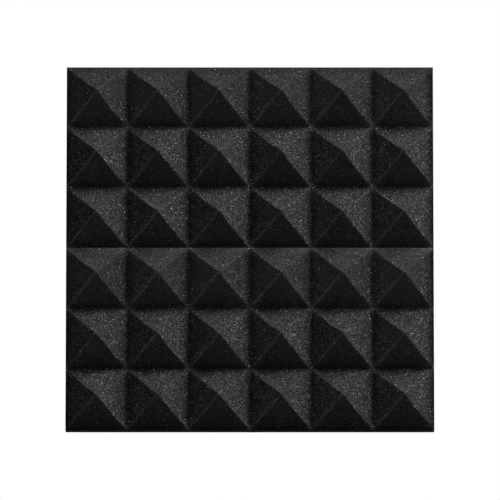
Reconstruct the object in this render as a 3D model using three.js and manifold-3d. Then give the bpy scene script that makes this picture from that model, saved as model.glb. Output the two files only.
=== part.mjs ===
// An acoustic foam panel: four foam tiles cut into pyramids, held edge to edge by one
// double-sided adhesive sheet, with a split paper liner over the adhesive.
// The panel stands upright as on a wall. Its pyramids point to -Y and +Z is up. The origin is
// the centre of the adhesive face that meets the wall, so the liner lies behind it, at +Y.
import * as THREE from 'three';
import { mergeVertices } from 'three/addons/utils/BufferGeometryUtils.js';
import Module from 'manifold-3d';

// Whole panel, in millimetres
const panelWidth = 300;
const panelHeight = 300;
const wallToTips = 50;

// Foam tiles, named by their row and column as seen from the front
const rows = ['lower', 'upper'];
const columns = ['left', 'right'];
const seamGap = 0.4;
const slabThickness = 14;

// Pyramids: a flank is rounded off in the valley, rises straight, and steepens towards the tip,
// where this share of its height comes from a power of the distance
const pyramidPitch = 50;
const tipWidth = 0.8;
const valleyRound = 1.2;
const steepShare = 0.25;
const steepPower = 4;
const flankSteps = 11;
// Steps are closer together near the valley
const stepPower = 1.25;

// Backing
const adhesiveThickness = 0.3;
const linerThickness = 0.15;
const linerSlit = 0.5;

// Sizes that follow
const tileWidth = (panelWidth + seamGap) / columns.length - seamGap;
const tileHeight = (panelHeight + seamGap) / rows.length - seamGap;
const pyramidHeight = wallToTips - adhesiveThickness - slabThickness;
const flankRun = (pyramidPitch - tipWidth) / 2;
const linerWidth = (panelWidth - linerSlit) / 2;

const foam = { color: 0x39393a, roughness: 0.95, metalness: 0 };
const adhesive = { color: 0xd9d6c8, roughness: 0.3, metalness: 0 };
const liner = { color: 0xd6bf94, roughness: 0.6, metalness: 0 };

const wasm = await Module();
wasm.setup();

function solidOf(geometry) {
  const bare = geometry.clone();
  bare.deleteAttribute('normal');
  bare.deleteAttribute('uv');
  const merged = mergeVertices(bare);
  return new wasm.Manifold(
    new wasm.Mesh({
      numProp: 3,
      vertProperties: new Float32Array(merged.attributes.position.array),
      triVerts: new Uint32Array(merged.index.array),
    }),
  );
}

function geometryOf(solid) {
  const mesh = solid.getMesh();
  const geometry = new THREE.BufferGeometry();
  geometry.setAttribute('position', new THREE.BufferAttribute(mesh.vertProperties, 3));
  geometry.setIndex(new THREE.BufferAttribute(mesh.triVerts, 1));
  geometry.computeVertexNormals();
  return geometry;
}

// Height of a flank above the slab, at a distance from the middle of the valley
function flankHeight(distance) {
  const fromValley = Math.hypot(distance, valleyRound) - valleyRound;
  const toTip = Math.hypot(flankRun, valleyRound) - valleyRound;
  const share = fromValley / toTip;
  return pyramidHeight * ((1 - steepShare) * share + steepShare * share ** steepPower);
}

// One ridge from valley to tip to valley, as pairs of distance and height
function ridgePoints() {
  const rising = [];
  for (let i = 0; i <= flankSteps; i++) {
    const distance = flankRun * (i / flankSteps) ** stepPower;
    rising.push([distance, flankHeight(distance)]);
  }
  const falling = rising.slice(1).reverse();
  return [...rising, ...falling.map(([distance, height]) => [pyramidPitch - distance, height])];
}

// A block after one pass of the cutting wire: a slab with parallel ridges that run along Z. They
// cover the span, and stand over both its ends alike
function ridgedBlock(span, length) {
  const count = Math.ceil(span / pyramidPitch);
  const start = (-count * pyramidPitch) / 2;
  const outline = new THREE.Shape();
  outline.moveTo(-start, 0);
  outline.lineTo(start, 0);
  for (let i = 0; i < count; i++) {
    for (const [distance, height] of ridgePoints()) {
      outline.lineTo(start + i * pyramidPitch + distance, -slabThickness - height);
    }
  }
  outline.lineTo(-start, -slabThickness);
  outline.closePath();
  const block = new THREE.ExtrudeGeometry(outline, { depth: length, bevelEnabled: false });
  return block.translate(0, 0, -length / 2);
}

// Two passes of the wire, at right angles, leave the pyramids. Each pass has the tile's true
// size along its ridges, so where the two meet the tile is trimmed to size on all sides
function foamTileGeometry() {
  const upright = ridgedBlock(tileWidth, tileHeight);
  const level = ridgedBlock(tileHeight, tileWidth);
  return geometryOf(solidOf(upright).intersect(solidOf(level.rotateY(Math.PI / 2))));
}

function piece(name, geometry, finish) {
  const mesh = new THREE.Mesh(geometry, new THREE.MeshStandardMaterial(finish));
  mesh.name = name;
  return mesh;
}

const panel = new THREE.Group();

const tileGeometry = foamTileGeometry();
rows.forEach((row, j) => {
  columns.forEach((column, i) => {
    const tile = piece(`foam_tile_${row}_${column}`, tileGeometry.clone(), foam);
    tile.position.x = (tileWidth - panelWidth) / 2 + i * (tileWidth + seamGap);
    tile.position.y = -adhesiveThickness;
    tile.position.z = (tileHeight - panelHeight) / 2 + j * (tileHeight + seamGap);
    panel.add(tile);
  });
});

const sheetGeometry = new THREE.BoxGeometry(panelWidth, adhesiveThickness, panelHeight);
const sheet = piece('adhesive_sheet', sheetGeometry, adhesive);
sheet.position.y = -adhesiveThickness / 2;
panel.add(sheet);

// The halves of the liner part at a slit down the middle
['left', 'right'].forEach((side, i) => {
  const geometry = new THREE.BoxGeometry(linerWidth, linerThickness, panelHeight);
  const half = piece(`release_liner_${side}`, geometry, liner);
  half.position.x = (i - 1 / 2) * (linerWidth + linerSlit);
  half.position.y = linerThickness / 2;
  panel.add(half);
});

export default panel;
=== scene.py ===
import math
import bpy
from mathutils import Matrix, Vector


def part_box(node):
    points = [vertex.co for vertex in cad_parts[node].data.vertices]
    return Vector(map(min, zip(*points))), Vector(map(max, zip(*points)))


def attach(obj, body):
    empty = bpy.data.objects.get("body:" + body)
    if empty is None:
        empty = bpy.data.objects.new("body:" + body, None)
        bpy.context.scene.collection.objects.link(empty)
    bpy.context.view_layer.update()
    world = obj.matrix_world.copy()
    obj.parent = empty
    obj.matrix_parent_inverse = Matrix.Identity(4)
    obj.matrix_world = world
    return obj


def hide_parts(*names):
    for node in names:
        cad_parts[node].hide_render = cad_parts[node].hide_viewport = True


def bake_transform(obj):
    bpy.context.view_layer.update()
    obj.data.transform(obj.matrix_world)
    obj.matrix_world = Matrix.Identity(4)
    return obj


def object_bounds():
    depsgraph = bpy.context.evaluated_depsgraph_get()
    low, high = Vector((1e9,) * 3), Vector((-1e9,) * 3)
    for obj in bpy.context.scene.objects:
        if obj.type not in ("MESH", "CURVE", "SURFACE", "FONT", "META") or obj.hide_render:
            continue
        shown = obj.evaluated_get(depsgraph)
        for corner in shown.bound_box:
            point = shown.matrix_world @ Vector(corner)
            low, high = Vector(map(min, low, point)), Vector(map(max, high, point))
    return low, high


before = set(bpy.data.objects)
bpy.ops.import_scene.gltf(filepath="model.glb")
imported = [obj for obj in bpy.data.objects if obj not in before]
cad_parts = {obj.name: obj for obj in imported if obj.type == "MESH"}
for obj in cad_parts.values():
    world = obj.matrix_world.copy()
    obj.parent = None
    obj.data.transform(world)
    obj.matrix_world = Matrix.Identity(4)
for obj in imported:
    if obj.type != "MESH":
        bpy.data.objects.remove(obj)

from types import SimpleNamespace

import bpy
import numpy as np
from mathutils import Vector

cad_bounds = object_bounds()

# Camera: it stands far off, in front of the panel and a little below it, so the rows of
# pyramids run nearly parallel and the cut bottom edge shows as a thin strip. The panel fills
# the same part of the picture as in the photo.
MM = 0.001
PICTURE_WIDTH = 408.6 * MM
PICTURE_MIDDLE = Vector((0.1 * MM, -7.3 * MM, -0.6 * MM))
CAMERA_DISTANCE = 6000 * MM
CAMERA_BELOW = math.radians(9.5)
CAMERA_REACH = (100 * MM, 60000 * MM)
SENSOR_WIDTH = 36


def add_object(name, data):
    made = bpy.data.objects.new(name, data)
    bpy.context.scene.collection.objects.link(made)
    return made


camera_data = bpy.data.cameras.new("camera")
camera_data.sensor_width = SENSOR_WIDTH
camera_data.lens = SENSOR_WIDTH * CAMERA_DISTANCE / PICTURE_WIDTH
camera_data.clip_start, camera_data.clip_end = CAMERA_REACH
camera = add_object("camera", camera_data)
towards_camera = Vector((0, -math.cos(CAMERA_BELOW), -math.sin(CAMERA_BELOW)))
camera.location = PICTURE_MIDDLE + towards_camera * CAMERA_DISTANCE
camera.rotation_euler = (-towards_camera).to_track_quat("-Z", "Y").to_euler()
bpy.context.scene.camera = camera

# Foam tiles: four squares of charcoal polyurethane foam, laid edge to edge. Each is cut from a
# block by a hot wire in two crossing passes, which leaves nine pyramids on a 14 mm slab, and is
# then trimmed with a blade. The wire opens the foam's cells, so every face is finely pitted.
SLAB = 14 * MM
PITCH = 50 * MM
PYRAMIDS_ACROSS = 3
PYRAMID_HEIGHT = 35.7 * MM
TIP_WIDTH = 0.8 * MM
FLANK_RUN = (PITCH - TIP_WIDTH) / 2
# From the valley to its tip, a flank gets this share of its height from a power of the distance
STEEP_SHARE = 0.25
STEEP_POWER = 4
VALLEY_ROUND = 1.2 * MM
RIDGE_ROUND = 1.1 * MM
WIRE_WANDER = 0.12 * MM
WANDER_LENGTH = 12 * MM
# How far the soft tiles close the seams, pressed against each other
SEAM_PRESS = 0.19 * MM

LINES_PER_PITCH = 94
MESH_STEP = PITCH / LINES_PER_PITCH
EDGE_ROWS = 13
PIT_DEPTH = 0.13 * MM
PIT_LENGTH = 0.22 * MM
EDGE_PIT_LENGTH = 0.35 * MM
# A pit has this share of that depth anyway, and this one times how coarse the cells are
EVEN_PIT = 0.35
COARSE_PIT = 0.45

FOAM_HEX = "#3b3b3b"
CELL = 1.3 * MM
TORN_WALL = 0.5 * MM
CLOUD = 18 * MM
BUMP_DEPTH = 0.25 * MM
# Tones of cell walls and pores, times the foam's colour
WALL_TONE = 1.9
PORE_TONE = 0.25
USUAL_TONES = (0.3, 1.2)
# Rare light walls: partly the foam's own tone, partly painted glint
RARE_TONE_AND_GLINT = 4.7
RARE_POWER = 25
# Painted glints: walls painted bright where the lamp would glint on them
PAINTED_GLINT_TONE = 14
PAINTED_GLINT_POWER = 40
DARKEST_TONE = 0.1
CLOUD_TONES = (0.95, 1.05)


def linear(hex_colour):
    """An sRGB hex colour as linear red, green, blue and alpha."""
    parts = [int(hex_colour[i:i + 2], 16) / 255 for i in (1, 3, 5)]
    return [p / 12.92 if p <= 0.04045 else ((p + 0.055) / 1.055) ** 2.4 for p in parts] + [1]


def new_material(name):
    material = bpy.data.materials.new(name)
    material.use_nodes = True
    material.node_tree.nodes.clear()
    return material


def add_node(tree, kind, inputs=None, **settings):
    """Adds a node with its settings. An input is a value or another node's output."""
    made = tree.nodes.new(kind)
    for setting, value in settings.items():
        setattr(made, setting, value)
    for socket, value in (inputs or {}).items():
        if isinstance(value, bpy.types.NodeSocket):
            tree.links.new(value, made.inputs[socket])
        else:
            made.inputs[socket].default_value = value
    return made


def torn_walls(tree, place):
    """How light the cell walls are that the wire has torn open. Most are about alike, one in forty stands
    out, partly by its own lighter tone and partly as a painted glint, and one in a thousand or so carries a
    bright painted glint."""
    torn = add_node(tree, "ShaderNodeTexVoronoi", {"Vector": place, "Scale": 1 / TORN_WALL})
    chance = add_node(tree, "ShaderNodeSeparateColor", {"Color": torn.outputs["Color"]})
    rare = add_node(tree, "ShaderNodeMath", {
        0: chance.outputs["Red"], 1: RARE_POWER}, operation="POWER")
    glint = add_node(tree, "ShaderNodeMath", {0: rare.outputs[0], 1: PAINTED_GLINT_POWER}, operation="POWER")
    speck = add_node(tree, "ShaderNodeMath", {
        0: chance.outputs["Red"], 1: USUAL_TONES[1] - USUAL_TONES[0], 2: USUAL_TONES[0]},
        operation="MULTIPLY_ADD")
    speck = add_node(tree, "ShaderNodeMath", {
        0: rare.outputs[0], 1: RARE_TONE_AND_GLINT, 2: speck.outputs[0]}, operation="MULTIPLY_ADD")
    speck = add_node(tree, "ShaderNodeMath", {
        0: glint.outputs[0], 1: PAINTED_GLINT_TONE, 2: speck.outputs[0]}, operation="MULTIPLY_ADD")
    return speck.outputs[0]


def cut_polyurethane_foam():
    """Open-cell polyurethane foam, charcoal, wire cut: matt, with dark pores between cell walls, and here
    and there a painted glint, a bright speck painted into the colour where a wall would catch the lamp. It
    also carries the painted light and shade held on the mesh."""
    material = new_material("cut_polyurethane_foam")
    tree = material.node_tree
    place = add_node(tree, "ShaderNodeTexCoord").outputs["Object"]
    cells = add_node(tree, "ShaderNodeTexVoronoi", {
        "Vector": place, "Scale": 1 / CELL, "Randomness": 0.6}, feature="DISTANCE_TO_EDGE")
    pores = add_node(tree, "ShaderNodeMapRange", {
        "Value": cells.outputs["Distance"], "From Min": 0.02, "From Max": 0.3,
        "To Min": WALL_TONE, "To Max": PORE_TONE})
    # How coarse the cells are is painted on the mesh, and so is the foam's painted light and shade
    coarse = add_node(tree, "ShaderNodeAttribute", attribute_name="coarse").outputs["Fac"]
    light = add_node(tree, "ShaderNodeAttribute", attribute_name="light").outputs["Fac"]
    tone = add_node(tree, "ShaderNodeMath", {
        0: torn_walls(tree, place), 1: pores.outputs[0]}, operation="MULTIPLY")
    tone = add_node(tree, "ShaderNodeMath", {0: tone.outputs[0], 1: 1}, operation="SUBTRACT")
    tone = add_node(tree, "ShaderNodeMath", {0: tone.outputs[0], 1: coarse, 2: 1}, operation="MULTIPLY_ADD")
    tone = add_node(tree, "ShaderNodeMath", {0: tone.outputs[0], 1: DARKEST_TONE}, operation="MAXIMUM")
    tone = add_node(tree, "ShaderNodeMath", {0: tone.outputs[0], 1: light}, operation="MULTIPLY")
    clouds = add_node(tree, "ShaderNodeTexNoise", {"Vector": place, "Scale": 1 / CLOUD, "Detail": 3})
    mottle = add_node(tree, "ShaderNodeMapRange", {
        "Value": clouds.outputs["Fac"], "From Min": 0.3, "From Max": 0.7,
        "To Min": CLOUD_TONES[0], "To Max": CLOUD_TONES[1]})
    tone = add_node(tree, "ShaderNodeMath", {0: tone.outputs[0], 1: mottle.outputs[0]}, operation="MULTIPLY")
    colour = add_node(tree, "ShaderNodeVectorMath", {
        0: linear(FOAM_HEX)[:3], 3: tone.outputs[0]}, operation="SCALE")
    bump = add_node(tree, "ShaderNodeBump", {
        "Height": cells.outputs["Distance"], "Strength": 0.7, "Distance": BUMP_DEPTH}, invert=True)
    shader = add_node(tree, "ShaderNodeBsdfPrincipled", {
        "Base Color": colour.outputs[0], "Normal": bump.outputs[0], "Roughness": 0.95,
        "Specular IOR Level": 0.0})
    add_node(tree, "ShaderNodeOutputMaterial", {"Surface": shader.outputs[0]})
    return material


def rough_field(random, shape, spacing, length):
    """Smooth random heights of unit spread, which change over about this length."""
    waves = np.hypot(*np.meshgrid(
        np.fft.fftfreq(shape[0], spacing), np.fft.rfftfreq(shape[1], spacing), indexing="ij"))
    noise = np.fft.rfft2(random.standard_normal(shape))
    field = np.fft.irfft2(noise * np.exp(-(waves * length) ** 2), s=shape)
    return field / field.std()


def hump(distance, reach, power=2):
    """1 at a line or an edge, fading to nothing past its reach."""
    return np.exp(-(distance / reach) ** power)


def grid_faces(shape):
    """Quads over a grid of points, and the points of its rim in order."""
    index = np.arange(shape[0] * shape[1]).reshape(shape)
    quads = np.stack([index[:-1, :-1], index[1:, :-1], index[1:, 1:], index[:-1, 1:]], axis=-1)
    rim = np.concatenate([index[:-1, 0], index[-1, :-1], index[:0:-1, -1], index[0, :0:-1]])
    return quads.reshape(-1, 4), rim


def smooth_but_for(mesh, marked):
    """Shades a mesh smooth, but keeps the edges between marked points sharp."""
    mesh.shade_smooth()
    ends = np.zeros(2 * len(mesh.edges), int)
    mesh.edges.foreach_get("vertices", ends)
    sharp_edge = mesh.attributes.new("sharp_edge", "BOOLEAN", "EDGE")
    sharp_edge.data.foreach_set("value", marked[ends].reshape(-1, 2).all(axis=1))


def flank_height(distance):
    """Height over the slab at a distance from the middle of a valley."""
    from_valley = np.hypot(distance, VALLEY_ROUND) - VALLEY_ROUND
    share = from_valley / (math.hypot(FLANK_RUN, VALLEY_ROUND) - VALLEY_ROUND)
    return PYRAMID_HEIGHT * ((1 - STEEP_SHARE) * share + STEEP_SHARE * share ** STEEP_POWER)


def mesh_lines(low, high, first_valley):
    """Where the mesh lines of a tile run: at its two edges, and on every valley and tip."""
    count = (PYRAMIDS_ACROSS + 1) * LINES_PER_PITCH
    lines = first_valley + MESH_STEP * np.arange(-LINES_PER_PITCH, count)
    lines = lines[(lines > low + MESH_STEP / 2) & (lines < high - MESH_STEP / 2)]
    return np.concatenate(([low], lines, [high]))


def wire_cut(random, x, z, first_valleys):
    """Height of the foam over the slab, and each point's distance from the nearest upright and
    level valley. The wire wanders a little on each pass."""
    wander = [WIRE_WANDER * rough_field(random, x.shape, MESH_STEP, WANDER_LENGTH) for _ in range(2)]
    distances = []
    for place, first_valley, off in zip((x, z), first_valleys, wander):
        across = (place - first_valley + off) % PITCH
        distances.append(np.minimum(np.minimum(across, PITCH - across), FLANK_RUN))
    heights = [flank_height(distance) for distance in distances]
    share = np.clip(0.5 + (heights[1] - heights[0]) / RIDGE_ROUND / 2, 0, 1)
    height = heights[0] * share + heights[1] * (1 - share) - RIDGE_ROUND * share * (1 - share) / 2
    return height, distances


def tile_front(name, random):
    """The front face of a tile as a grid: where its points are, and on which side of a pyramid
    each one lies, as seen from the front."""
    low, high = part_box(name)
    middle = ((low.x + high.x) / 2, (low.z + high.z) / 2)
    panel_low, panel_high = map(Vector, cad_bounds)
    for axis in (0, 2):
        if high[axis] < (panel_low[axis] + panel_high[axis]) / 2:
            high[axis] += SEAM_PRESS
        else:
            low[axis] -= SEAM_PRESS
    first_valleys = [place - PYRAMIDS_ACROSS / 2 * PITCH for place in middle]
    xs = mesh_lines(low.x, high.x, first_valleys[0])
    zs = mesh_lines(low.z, high.z, first_valleys[1])
    x, z = np.meshgrid(xs, zs, indexing="ij")
    height, distances = wire_cut(random, x, z, first_valleys)
    left_half = (x - middle[0] + PITCH / 2) % PITCH < PITCH / 2
    lower_half = (z - middle[1] + PITCH / 2) % PITCH < PITCH / 2
    up_or_down = distances[1] < distances[0]
    return SimpleNamespace(
        low=low, high=high, xs=xs, zs=zs, x=x, z=z, height=height, distances=distances,
        lower_left=left_half & lower_half,
        sides={
            "left": ~up_or_down & left_half, "right": ~up_or_down & ~left_half,
            "bottom": up_or_down & lower_half, "top": up_or_down & ~lower_half},
        from_panel_edge={
            "left": x - panel_low.x, "right": panel_high.x - x,
            "bottom": z - panel_low.z, "top": panel_high.z - z},
        from_top=high.z - z, in_top_row=high.z - z < PITCH,
        in_lower_tile=high.z < (panel_low.z + panel_high.z) / 2)


# Cells: how coarse they look, in their pits and in their speckle with its painted glints: less in the top
# row of each tile and on the sides of the pyramids that face down or left, away from the lamp, where fewer
# painted glints show
COARSE = 1.42
COARSE_SPREAD = 0.15
COARSE_LENGTH = 9 * MM
TOP_ROW_FINER = 0.45
TOP_ROW_START = 1.8 * PITCH
BOTTOM_SMOOTH = 0.6
LEFT_SMOOTH = 0.23
LEFT_SMOOTH_TOP_ROW = 0.37
TOP_ROW_COARSER_DOWN = 0.35
TOP_ROW_COARSE_MIDDLE = 0.45 * PITCH
EDGE_COARSE = 1.2


def cell_coarseness(front, random):
    """How coarse the cells look at each point of a tile's front."""
    coarse = COARSE + COARSE_SPREAD * rough_field(random, front.x.shape, MESH_STEP, COARSE_LENGTH)
    coarse -= TOP_ROW_FINER * np.clip((front.z - front.low.z - TOP_ROW_START) / PITCH, 0, 1)
    left_smooth = np.where(front.in_top_row, LEFT_SMOOTH_TOP_ROW, LEFT_SMOOTH)
    coarse *= 1 - BOTTOM_SMOOTH * front.sides["bottom"] - left_smooth * front.sides["left"]
    # In the top row the sides towards the light grow coarser from the tile's edge downwards, with more
    # painted glints
    towards_light = front.sides["top"] | front.sides["right"]
    coarser_down = TOP_ROW_COARSER_DOWN * (front.from_top - TOP_ROW_COARSE_MIDDLE) / PITCH
    return coarse * (1 + coarser_down * (towards_light & front.in_top_row))


# Painted light and shade on the foam: painted highlights on the ridges, painted shade in the valleys,
# painted light and shade on each side of the pyramids, for most rows and for the top one, and painted shade
# on the outer flanks
RIDGE_LINE = 0.7 * MM
RIDGE_PAINTED_HIGHLIGHT = 0.15
LOWER_LEFT_RIDGE_PAINTED_HIGHLIGHT = 1.1
RIDGE_FADE = PYRAMID_HEIGHT / 6
VALLEY_REACH = 2.8 * MM
VALLEY_PAINTED_SHADE = 0.5
VALLEY_CORE = 1.2 * MM
VALLEY_CORE_PAINTED_SHADE = 0.35
NO_TOP_VALLEY = PITCH / 4
PAINTED_SIDE_SHADES = {"top": (0.9, 0.955), "right": (1, 0.83), "left": (0.97, 1.16), "bottom": (0.97, 1.12)}
OUTER_PAINTED_SHADE = {
    "left": (0.4, 16 * MM), "right": (0.62, 5 * MM), "bottom": (0.52, 18 * MM), "top": (0.3, 14 * MM)}
SHADE_POWER = 1.5
# Under the middle seam: painted light on the top rows of the lower tiles, which lifts the shadow of the
# tiles above, most of all right on the edge
SEAM_REACH = 4 * MM
SEAM_PAINTED_LIGHT = 0.75
SEAM_LINE = 0.8 * MM
SEAM_LINE_PAINTED_LIGHT = 0.8
SEAM_AT_CROSSING = 0.6
# Painted shade on the cut edges along the seams and under the panel
PAINTED_EDGE_SHADE = 0.45


def painted_foam_light_and_shade(front):
    """Painted light and shade on the foam at each point of a tile's front, as a share of its colour."""
    distances = front.distances
    off_ridge = np.abs(distances[0] - distances[1]) / math.sqrt(2)
    # Painted highlight along the ridges, most on the lower left ones
    line = hump(off_ridge, RIDGE_LINE) * np.clip(front.height / RIDGE_FADE, 0, 1)
    light = 1 + (RIDGE_PAINTED_HIGHLIGHT + LOWER_LEFT_RIDGE_PAINTED_HIGHLIGHT * front.lower_left) * line
    # Painted shade in the valleys, but not where two cross or along a tile's top edge
    beside_crossing = 1 - hump(off_ridge, VALLEY_REACH)
    valley_painted_shade = hump(np.minimum(*distances), VALLEY_REACH, SHADE_POWER)
    valley_painted_shade *= front.sides["left"] | front.sides["right"] | (front.from_top > NO_TOP_VALLEY)
    light *= 1 - VALLEY_PAINTED_SHADE * valley_painted_shade * beside_crossing
    light *= 1 - VALLEY_CORE_PAINTED_SHADE * hump(distances[0], VALLEY_CORE) * beside_crossing
    # Painted light and shade on each side of the pyramids, one share for most rows and one for the top row
    for side, (usual, top_row) in PAINTED_SIDE_SHADES.items():
        light *= np.where(front.sides[side], np.where(front.in_top_row, top_row, usual), 1)
    # Painted shade on the outer flanks, as dark as the others, as if the tiles stood on a wall full of
    # panels
    for side, (depth, reach) in OUTER_PAINTED_SHADE.items():
        shade = depth * hump(front.from_panel_edge[side], reach, SHADE_POWER)
        light *= 1 - front.sides[side] * shade
    # Painted light under the middle seam, less where a valley meets it
    if front.in_lower_tile:
        seam_painted_light = SEAM_PAINTED_LIGHT * hump(front.from_top, SEAM_REACH)
        seam_painted_light += SEAM_LINE_PAINTED_LIGHT * hump(front.from_top, SEAM_LINE)
        light *= 1 + seam_painted_light * (1 - SEAM_AT_CROSSING * hump(distances[0], VALLEY_CORE))
    return light


def pitted_front(front, coarse, random):
    """Places of a tile's front points, with pits sunk at right angles to the cut faces."""
    pits = PIT_DEPTH * (EVEN_PIT + COARSE_PIT * coarse)
    pits *= rough_field(random, front.x.shape, MESH_STEP, PIT_LENGTH)
    surface = -SLAB - np.maximum(front.height, 0)
    slope_x = np.gradient(-surface, front.xs, axis=0)
    slope_z = np.gradient(-surface, front.zs, axis=1)
    tilt = np.sqrt(1 + slope_x ** 2 + slope_z ** 2)
    x = front.x - pits * slope_x / tilt
    y = front.high.y + surface - pits / tilt
    z = front.z - pits * slope_z / tilt
    # The rim stays straight, and no tip reaches past the CAD part's
    for ends in (np.s_[[0, -1], :], np.s_[:, [0, -1]]):
        x[ends] = front.x[ends]
        z[ends] = front.z[ends]
    return np.stack([x, np.maximum(y, front.low.y), z], axis=-1)


def along_rim(shape, on_sides, at_corners):
    """One value for each rim point, from those of the bottom, right, top and left side, and of
    the corner where each side starts."""
    counts = [shape[0] - 1, shape[1] - 1, shape[0] - 1, shape[1] - 1]
    values = np.repeat(on_sides, counts, axis=0)
    values[np.cumsum([0] + counts[:3])] = at_corners
    return values


def cut_edge_rows(front, rim_places, random):
    """Rows of points from the rim back to the adhesive, pitted inwards except at the corners
    and where they meet the adhesive."""
    inward = along_rim(front.x.shape, [(0, 0, 1), (-1, 0, 0), (0, 0, -1), (1, 0, 0)], (0, 0, 0))
    pits = PIT_DEPTH * np.abs(rough_field(random, (EDGE_ROWS, len(rim_places)), MESH_STEP, EDGE_PIT_LENGTH))
    rows = []
    for row in range(1, EDGE_ROWS + 1):
        back = row / EDGE_ROWS
        ring = rim_places.copy()
        ring[:, 1] = rim_places[:, 1] * (1 - back) + front.high.y * back
        if row < EDGE_ROWS:
            ring += inward * pits[row - 1][:, None]
        rows.append(ring)
    return rows


def painted_cut_edge_shade(front):
    """Painted shade on the cut edges: dark along the seams and under the panel, as in the photo."""
    right = PAINTED_EDGE_SHADE if front.high.x < 0 else 1
    top = PAINTED_EDGE_SHADE if front.high.z < 0 else 1
    left = PAINTED_EDGE_SHADE if front.low.x > 0 else 1
    sides = np.array([PAINTED_EDGE_SHADE, right, top, left])
    return along_rim(front.x.shape, sides, (PAINTED_EDGE_SHADE, PAINTED_EDGE_SHADE, 1, 1))


def foam_tile(name, random, foam):
    """A tile as one closed mesh of a pitted front, pitted cut edges and a flat back."""
    front = tile_front(name, random)
    coarse = cell_coarseness(front, random)
    front_places = pitted_front(front, coarse, random).reshape(-1, 3)
    quads, rim = grid_faces(front.x.shape)
    places = np.concatenate([front_places, *cut_edge_rows(front, front_places[rim], random)])
    rings = [rim] + [len(front_places) + len(rim) * row + np.arange(len(rim)) for row in range(EDGE_ROWS)]
    walls = [np.stack([a, b, np.roll(b, -1), np.roll(a, -1)], axis=-1) for a, b in zip(rings, rings[1:])]
    faces = np.concatenate([quads, *walls]).tolist() + [rings[-1][::-1].tolist()]

    mesh = bpy.data.meshes.new(name + "_foam")
    mesh.from_pydata(places.tolist(), [], faces)
    marked = np.zeros(len(places), bool)
    marked[rim] = True
    marked[rings[-1]] = True
    smooth_but_for(mesh, marked)
    edge_coarse = np.full(len(rim), EDGE_COARSE)
    painted = {"light": (painted_foam_light_and_shade(front), painted_cut_edge_shade(front)), "coarse": (coarse, edge_coarse)}
    for title, (on_front, on_edge) in painted.items():
        values = np.concatenate([on_front.ravel(), np.tile(on_edge, EDGE_ROWS)])
        attribute = mesh.attributes.new(title, "FLOAT", "POINT")
        attribute.data.foreach_set("value", values.astype(np.float32))
    mesh.materials.append(foam)
    piece = add_object(name + "_foam", mesh)
    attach(piece, "panel")
    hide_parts(name)


foam = cut_polyurethane_foam()
tile_names = [node for node in sorted(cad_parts) if node.startswith("foam_tile")]
for number, tile_name in enumerate(tile_names):
    foam_tile(tile_name, np.random.default_rng(seed=number + 1), foam)

# Adhesive sheet: one double-sided sheet over the backs of all four tiles, a film of clear acrylic
# adhesive on an open scrim of fine threads. The foam is stuck to its front face, and its back
# face lies under the liner until the panel is put up.
FILM_LINES = 61
FILM_LUMP = 0.03 * MM
FILM_LUMP_LIMIT = 2
FILM_LUMP_STEPS = 1.5
# The film's share of the sheet's thickness
FILM_SHARE = 0.6
THREAD_SPACING = 3 * MM
THREAD_WANDER = 0.1 * THREAD_SPACING
THREAD_WANDER_STEPS = 1.2
THREAD_STEPS = 24
THREAD_WIDTH = 0.34 * MM
THREAD_HEIGHT = 0.07 * MM
# Corners of a thread, in shares of its width and height
THREAD_OUTLINE = [(-0.5, 0), (-0.25, 1), (0.25, 1), (0.5, 0)]
# How far the upright threads lie under the others
THREAD_UNDER = 0.8 * THREAD_HEIGHT
ADHESIVE_HEX = "#d2cec0"
WETTED_FOAM_HEX = "#625e56"
THREAD_HEX = "#d2cfc4"
WETTED_CELL = 1.3 * MM
PRESSED_PATCH = 25 * MM
COATING_RIPPLE = 1.6 * MM
COATING_RIPPLE_DEPTH = 0.1 * MM
SLUB = 2 * MM


def clear_acrylic_adhesive():
    """Clear acrylic adhesive, coated on foam: milky and a little shiny, with a dark dot wherever
    it has wetted a cell wall of the charcoal foam behind it."""
    material = new_material("clear_acrylic_adhesive")
    tree = material.node_tree
    place = add_node(tree, "ShaderNodeTexCoord").outputs["Object"]
    cells = add_node(tree, "ShaderNodeTexVoronoi", {"Vector": place, "Scale": 1 / WETTED_CELL})
    chance = add_node(tree, "ShaderNodeSeparateColor", {"Color": cells.outputs["Color"]})
    patches = add_node(tree, "ShaderNodeTexNoise", {
        "Vector": place, "Scale": 1 / PRESSED_PATCH, "Detail": 4, "Roughness": 0.6})
    # A dot is as large as the film is pressed down, and some cells aren't touched at all
    pressed = add_node(tree, "ShaderNodeMath", {
        0: chance.outputs["Red"], 1: patches.outputs["Fac"]}, operation="MULTIPLY")
    dot = add_node(tree, "ShaderNodeMath", {
        0: pressed.outputs[0], 1: cells.outputs["Distance"]}, operation="SUBTRACT")
    wetted = add_node(tree, "ShaderNodeMapRange", {
        "Value": dot.outputs[0], "From Min": -0.25, "From Max": 0.2})
    colour = add_node(tree, "ShaderNodeMix", {
        "Factor": wetted.outputs[0], 6: linear(ADHESIVE_HEX), 7: linear(WETTED_FOAM_HEX)},
        data_type="RGBA")
    ripple = add_node(tree, "ShaderNodeTexNoise", {
        "Vector": place, "Scale": 1 / COATING_RIPPLE, "Detail": 2})
    bump = add_node(tree, "ShaderNodeBump", {
        "Height": ripple.outputs["Fac"], "Strength": 0.4, "Distance": COATING_RIPPLE_DEPTH})
    gloss = add_node(tree, "ShaderNodeMapRange", {
        "Value": patches.outputs["Fac"], "To Min": 0.4, "To Max": 0.22})
    shader = add_node(tree, "ShaderNodeBsdfPrincipled", {
        "Base Color": colour.outputs[2], "Normal": bump.outputs[0], "Roughness": gloss.outputs[0]})
    add_node(tree, "ShaderNodeOutputMaterial", {"Surface": shader.outputs[0]})
    return material


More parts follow.
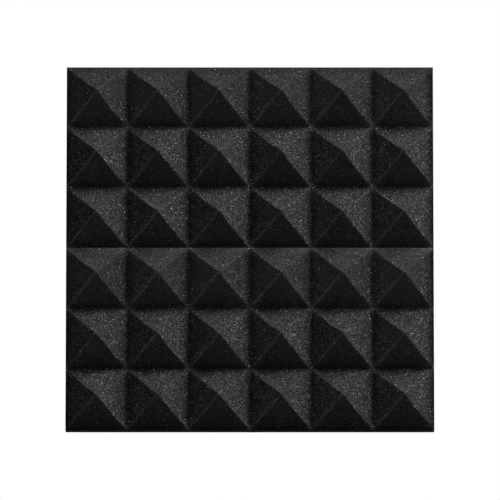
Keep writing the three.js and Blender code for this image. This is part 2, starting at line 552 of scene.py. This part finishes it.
def spun_polyester_thread():
    """Spun polyester thread, off-white and matt, under a skin of adhesive that gives it some
    sheen."""
    material = new_material("spun_polyester_thread")
    tree = material.node_tree
    place = add_node(tree, "ShaderNodeTexCoord").outputs["Object"]
    slubs = add_node(tree, "ShaderNodeTexNoise", {"Vector": place, "Scale": 1 / SLUB, "Detail": 3})
    tone = add_node(tree, "ShaderNodeMapRange", {
        "Value": slubs.outputs["Fac"], "To Min": 0.8, "To Max": 1.1})
    colour = add_node(tree, "ShaderNodeVectorMath", {
        0: linear(THREAD_HEX)[:3], 3: tone.outputs[0]}, operation="SCALE")
    shader = add_node(tree, "ShaderNodeBsdfPrincipled", {
        "Base Color": colour.outputs[0], "Roughness": 0.45})
    add_node(tree, "ShaderNodeOutputMaterial", {"Surface": shader.outputs[0]})
    return material


def thin_sheet(x, z, near, far):
    """Points and faces of a closed thin sheet between two faces over a grid. The near face
    looks to -Y. Its faces come in three lists: near, far and rim."""
    quads, rim = grid_faces(x.shape)
    walls = np.stack([rim, rim + x.size, np.roll(rim, -1) + x.size, np.roll(rim, -1)], axis=-1)
    points = np.concatenate([np.stack([x, y, z], axis=-1).reshape(-1, 3) for y in (near, far)])
    return points, quads, quads[:, ::-1] + x.size, walls


def thread_faces(start):
    """Faces of one upright thread whose points start here."""
    corners = len(THREAD_OUTLINE)
    faces = []
    for step in range(THREAD_STEPS):
        here = start + corners * step
        for a in range(corners):
            b = (a + 1) % corners
            faces.append((here + corners + a, here + corners + b, here + b, here + a))
    last = start + corners * THREAD_STEPS
    faces.append([start + corner for corner in range(corners)])
    faces.append([last + corner for corner in reversed(range(corners))])
    return faces


def laid_threads(random, low, high, upright, back):
    """One set of parallel threads with flat undersides, from edge to edge of the sheet."""
    along_low, along_high, across_low, across_high = (
        (low.z, high.z, low.x, high.x) if upright else (low.x, high.x, low.z, high.z))
    count = int((across_high - across_low) / THREAD_SPACING)
    first = (across_low + across_high - (count - 1) * THREAD_SPACING) / 2
    along = np.linspace(along_low, along_high, THREAD_STEPS + 1)
    points = []
    faces = []
    for number in range(count):
        wander = rough_field(random, (1, THREAD_STEPS + 1), 1, THREAD_WANDER_STEPS)[0]
        wander *= THREAD_WANDER
        wander[[0, -1]] = 0
        faces.extend(thread_faces(len(points)))
        for place, centre in zip(along, first + number * THREAD_SPACING + wander):
            for side, lift in THREAD_OUTLINE:
                across = centre + side * THREAD_WIDTH
                depth = back - THREAD_HEIGHT * (1 - lift)
                points.append((across, depth, place) if upright else (place, depth, across))
    return np.array(points), np.array(faces) if upright else np.array(faces)[:, ::-1]


def adhesive_sheet(name):
    """The film, flat towards the foam and a little lumpy behind, and the scrim laid into it."""
    random = np.random.default_rng(seed=11)
    low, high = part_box(name)
    x, z = np.meshgrid(
        np.linspace(low.x, high.x, FILM_LINES), np.linspace(low.z, high.z, FILM_LINES), indexing="ij")
    lumps = np.clip(rough_field(random, x.shape, 1, FILM_LUMP_STEPS), -FILM_LUMP_LIMIT, FILM_LUMP_LIMIT)
    film_back = low.y + FILM_SHARE * (high.y - low.y) + FILM_LUMP * lumps
    points, *faces = thin_sheet(x, z, np.full(x.shape, low.y), film_back)
    parts = [points]
    film_faces = sum(map(len, faces))
    # The threads that run across are laid over the upright ones
    for upright, back in ((True, high.y - THREAD_UNDER), (False, high.y)):
        thread_points, threads = laid_threads(random, low, high, upright, back)
        faces.append(threads + sum(map(len, parts)))
        parts.append(thread_points)
    mesh = bpy.data.meshes.new(name)
    mesh.from_pydata(np.concatenate(parts).tolist(), [], np.concatenate(faces).tolist())
    mesh.materials.append(clear_acrylic_adhesive())
    mesh.materials.append(spun_polyester_thread())
    on_thread = np.arange(len(mesh.polygons)) >= film_faces
    mesh.polygons.foreach_set("material_index", on_thread.astype(np.int32))
    piece = add_object("adhesive_film_and_scrim", mesh)
    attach(piece, "panel")
    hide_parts(name)


adhesive_sheet("adhesive_sheet")

# Release liner: two leaves of brown kraft paper, coated with silicone on the side towards the
# adhesive and slit apart down the middle, where they lift a little. Each is peeled outwards
# from the slit, and stays on last along the panel's side edge, where the paper bends.
LINER_LIFT = 0.7 * MM
LINER_LIFT_REACH = 5 * MM
# The lift along the slit swings between these shares of it, over this length for a radian
LINER_LIFT_SHARES = (0.6, 0.4)
LINER_LIFT_LENGTH = 23 * MM
LINER_WAVE = 0.12 * MM
LINER_WAVE_STEPS = 5
LINER_BEND = 14 * MM
LINER_FINE_STEP = 0.5 * MM
LINER_STEP = 2.5 * MM
LINER_ROWS = 101
KRAFT = {"hex_colour": "#d6bf94", "roughness": 0.7, "fibre_depth": 0.04 * MM}
COATED_KRAFT = {"hex_colour": "#c8ac7a", "roughness": 0.28, "fibre_depth": 0.015 * MM}
# Real fibres are about 0.03 mm wide, and are drawn coarser here so that they show
FIBRE_WIDTH = 0.35 * MM
FIBRE_STRETCH = 4
FORMATION_CLOUD = 6 * MM
SHIVE_SPACING = 3.5 * MM


def kraft_paper(name, hex_colour, roughness, fibre_depth):
    """Kraft paper, brown and unbleached, pressed from long fibres: streaky and cloudy, with now
    and then a darker shive, and smooth and faintly shiny where it is coated with silicone."""
    material = new_material(name)
    tree = material.node_tree
    place = add_node(tree, "ShaderNodeTexCoord").outputs["Object"]
    drawn = add_node(tree, "ShaderNodeMapping", {"Vector": place, "Scale": (1, 1, 1 / FIBRE_STRETCH)})
    fibres = add_node(tree, "ShaderNodeTexNoise", {
        "Vector": drawn.outputs[0], "Scale": 1 / FIBRE_WIDTH, "Detail": 4})
    clouds = add_node(tree, "ShaderNodeTexNoise", {
        "Vector": place, "Scale": 1 / FORMATION_CLOUD, "Detail": 3})
    shives = add_node(tree, "ShaderNodeTexVoronoi", {
        "Vector": drawn.outputs[0], "Scale": 1 / SHIVE_SPACING})
    specks = add_node(tree, "ShaderNodeMapRange", {
        "Value": shives.outputs["Distance"], "From Min": 0.03, "From Max": 0.09,
        "To Min": 0.72, "To Max": 1.0})
    grain = add_node(tree, "ShaderNodeMapRange", {
        "Value": fibres.outputs["Fac"], "From Min": 0.3, "From Max": 0.7,
        "To Min": 0.86, "To Max": 1.12})
    cloud = add_node(tree, "ShaderNodeMapRange", {
        "Value": clouds.outputs["Fac"], "From Min": 0.3, "From Max": 0.7,
        "To Min": 0.94, "To Max": 1.05})
    tone = add_node(tree, "ShaderNodeMath", {0: grain.outputs[0], 1: cloud.outputs[0]}, operation="MULTIPLY")
    tone = add_node(tree, "ShaderNodeMath", {0: tone.outputs[0], 1: specks.outputs[0]}, operation="MULTIPLY")
    colour = add_node(tree, "ShaderNodeVectorMath", {
        0: linear(hex_colour)[:3], 3: tone.outputs[0]}, operation="SCALE")
    bump = add_node(tree, "ShaderNodeBump", {
        "Height": fibres.outputs["Fac"], "Strength": 0.5, "Distance": fibre_depth})
    shader = add_node(tree, "ShaderNodeBsdfPrincipled", {
        "Base Color": colour.outputs[0], "Normal": bump.outputs[0], "Roughness": roughness})
    add_node(tree, "ShaderNodeOutputMaterial", {"Surface": shader.outputs[0]})
    return material


def leaf_lines(low, high, hinge_side):
    """Where the upright mesh lines of a leaf run, closer together where the paper bends."""
    width = high - low
    fine = np.arange(0, LINER_BEND + LINER_FINE_STEP, LINER_FINE_STEP)
    steps = math.ceil((width - fine[-1]) / LINER_STEP)
    wide = np.linspace(fine[-1], width, steps + 1)[1:]
    edge = low if hinge_side < 0 else high
    return edge, np.sort(edge - hinge_side * np.concatenate([fine, wide]))


def liner_leaf(side, hinge_side, random, plain, coated):
    """One leaf. hinge_side is -1 where the leaf stays joined at its left edge, and 1 at its
    right edge."""
    name = "release_liner_" + side
    low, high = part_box(name)
    edge, xs = leaf_lines(low.x, high.x, hinge_side)
    x, z = np.meshgrid(xs, np.linspace(low.z, high.z, LINER_ROWS), indexing="ij")
    from_slit = (high.x - x) if hinge_side < 0 else (x - low.x)
    even, swing = LINER_LIFT_SHARES
    lift = LINER_LIFT * hump(from_slit, LINER_LIFT_REACH)
    lift *= even + swing * np.sin(z / LINER_LIFT_LENGTH + hinge_side)
    held = np.clip((high.x - low.x - from_slit) / LINER_BEND, 0, 1)
    wave = LINER_WAVE * held * np.abs(rough_field(random, x.shape, 1, LINER_WAVE_STEPS))
    near = low.y + lift + wave
    points, near_faces, far_faces, walls = thin_sheet(x, z, near, near + high.y - low.y)
    mesh = bpy.data.meshes.new(name)
    mesh.from_pydata(points.tolist(), [], np.concatenate([near_faces, far_faces, walls]).tolist())
    on_rim = np.zeros(len(points), bool)
    on_rim[walls.ravel()] = True
    smooth_but_for(mesh, on_rim)
    mesh.materials.append(plain)
    mesh.materials.append(coated)
    inner = np.arange(len(mesh.polygons)) < len(near_faces)
    mesh.polygons.foreach_set("material_index", inner.astype(np.int32))
    leaf = add_object("liner_leaf_" + side, mesh)
    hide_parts(name)
    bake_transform(leaf)


plain_kraft = kraft_paper("kraft_paper", **KRAFT)
coated_kraft = kraft_paper("silicone_coated_kraft_paper", **COATED_KRAFT)
liner_leaf("left", -1, np.random.default_rng(seed=21), plain_kraft, coated_kraft)
liner_leaf("right", 1, np.random.default_rng(seed=22), plain_kraft, coated_kraft)

# Light: a large soft lamp from the upper right in front, a fainter one behind the panel, and a
# dim room with a lighter band that runs round the panel a little in front of it, brightest on
# the right. The room and the floor are white to the camera.
LAMP_DISTANCE = 2400 * MM
LAMP_HALF_ANGLE = math.radians(18)
LAMP_RADIUS = LAMP_DISTANCE * math.tan(LAMP_HALF_ANGLE)
KEY_LEVEL = 0.93
KEY_TOWARDS = Vector((0.45, -0.59, 0.67)).normalized()
REAR_LEVEL = 0.85
REAR_TOWARDS = Vector((-0.25, 0.86, 0.44)).normalized()
ROOM_LEVEL = 0.04
BAND_LEVEL = 0.6
# In front of the panel and on either side of its middle, as the sine of the angle
BAND_FORWARD = 0.3
BAND_WIDTH = 0.3
RIGHT_LEVEL = 1.2
RIGHT_TOWARDS = Vector((0.98, 0, 0.17)).normalized()
WHITE = (1, 1, 1, 1)


def soft_lamp(name, towards, level):
    """A round lamp that gives a white card facing it this share of white."""
    data = bpy.data.lights.new(name, "AREA")
    data.shape = "DISK"
    data.size = 2 * LAMP_RADIUS
    data.energy = level * math.pi ** 2 * LAMP_DISTANCE ** 2
    lamp = add_object(name, data)
    lamp.location = towards * LAMP_DISTANCE
    lamp.rotation_euler = towards.to_track_quat("Z", "Y").to_euler()


def seen_directly(tree):
    """1 for what the camera sees, also through glass and in a mirror, and 0 for the light on
    the object."""
    path = add_node(tree, "ShaderNodeLightPath")
    seen = add_node(tree, "ShaderNodeMath", {
        0: path.outputs["Is Camera Ray"], 1: path.outputs["Is Glossy Ray"]}, operation="MAXIMUM")
    seen = add_node(tree, "ShaderNodeMath", {
        0: seen.outputs[0], 1: path.outputs["Is Transmission Ray"]}, operation="MAXIMUM")
    return seen.outputs[0]


soft_lamp("key_lamp", KEY_TOWARDS, KEY_LEVEL)
soft_lamp("rear_lamp", REAR_TOWARDS, REAR_LEVEL)

world = bpy.data.worlds.new("room")
bpy.context.scene.world = world
world.use_nodes = True
room = world.node_tree
room.nodes.clear()
outward = add_node(room, "ShaderNodeTexCoord").outputs["Generated"]
depth = add_node(room, "ShaderNodeSeparateXYZ", {"Vector": outward})
off_band = add_node(room, "ShaderNodeMath", {0: depth.outputs["Y"], 1: BAND_FORWARD}, operation="ADD")
off_band = add_node(room, "ShaderNodeMath", {0: off_band.outputs[0]}, operation="ABSOLUTE")
band = add_node(room, "ShaderNodeMapRange", {
    "Value": off_band.outputs[0], "From Min": BAND_WIDTH, "From Max": 0}, interpolation_type="SMOOTHSTEP")
to_right = add_node(room, "ShaderNodeVectorMath", {0: outward, 1: RIGHT_TOWARDS}, operation="DOT_PRODUCT")
to_right = add_node(room, "ShaderNodeMath", {0: to_right.outputs["Value"], 1: 0}, operation="MAXIMUM")
lighter = add_node(room, "ShaderNodeMath", {
    0: to_right.outputs[0], 1: RIGHT_LEVEL, 2: BAND_LEVEL}, operation="MULTIPLY_ADD")
dim = add_node(room, "ShaderNodeMath", {
    0: lighter.outputs[0], 1: band.outputs[0], 2: ROOM_LEVEL}, operation="MULTIPLY_ADD")
level = add_node(room, "ShaderNodeMix", {"Factor": seen_directly(room), "A": dim.outputs[0], "B": 1.0})
air = add_node(room, "ShaderNodeBackground", {"Color": WHITE, "Strength": level.outputs[0]})
add_node(room, "ShaderNodeOutputWorld", {"Surface": air.outputs[0]})

# Floor: a sheet of matt studio paper, laid flat. It lies lower than the camera, which stands
# below the panel, and is white to the camera.
FLOOR_DROP = 1250 * MM
FLOOR_REACH = 1600 * MM
STUDIO_PAPER_HEX = "#959595"


def studio_paper():
    """Studio paper, uncoated and matt. It sends three tenths of the light back up to the panel,
    and shows white, as the room does."""
    material = new_material("studio_paper")
    tree = material.node_tree
    paper = add_node(tree, "ShaderNodeBsdfDiffuse", {"Color": linear(STUDIO_PAPER_HEX)})
    glow = add_node(tree, "ShaderNodeEmission", {"Color": WHITE, "Strength": seen_directly(tree)})
    both = add_node(tree, "ShaderNodeAddShader", {0: paper.outputs[0], 1: glow.outputs[0]})
    add_node(tree, "ShaderNodeOutputMaterial", {"Surface": both.outputs[0]})
    return material


floor_corners = [
    (x * FLOOR_REACH, y * FLOOR_REACH, -FLOOR_DROP) for x, y in ((-1, -1), (1, -1), (1, 1), (-1, 1))]
floor_mesh = bpy.data.meshes.new("floor")
floor_mesh.from_pydata(floor_corners, [], [(0, 1, 2, 3)])
floor_mesh.materials.append(studio_paper())
add_object("floor", floor_mesh)

view = bpy.context.scene.view_settings
view.view_transform = "Standard"
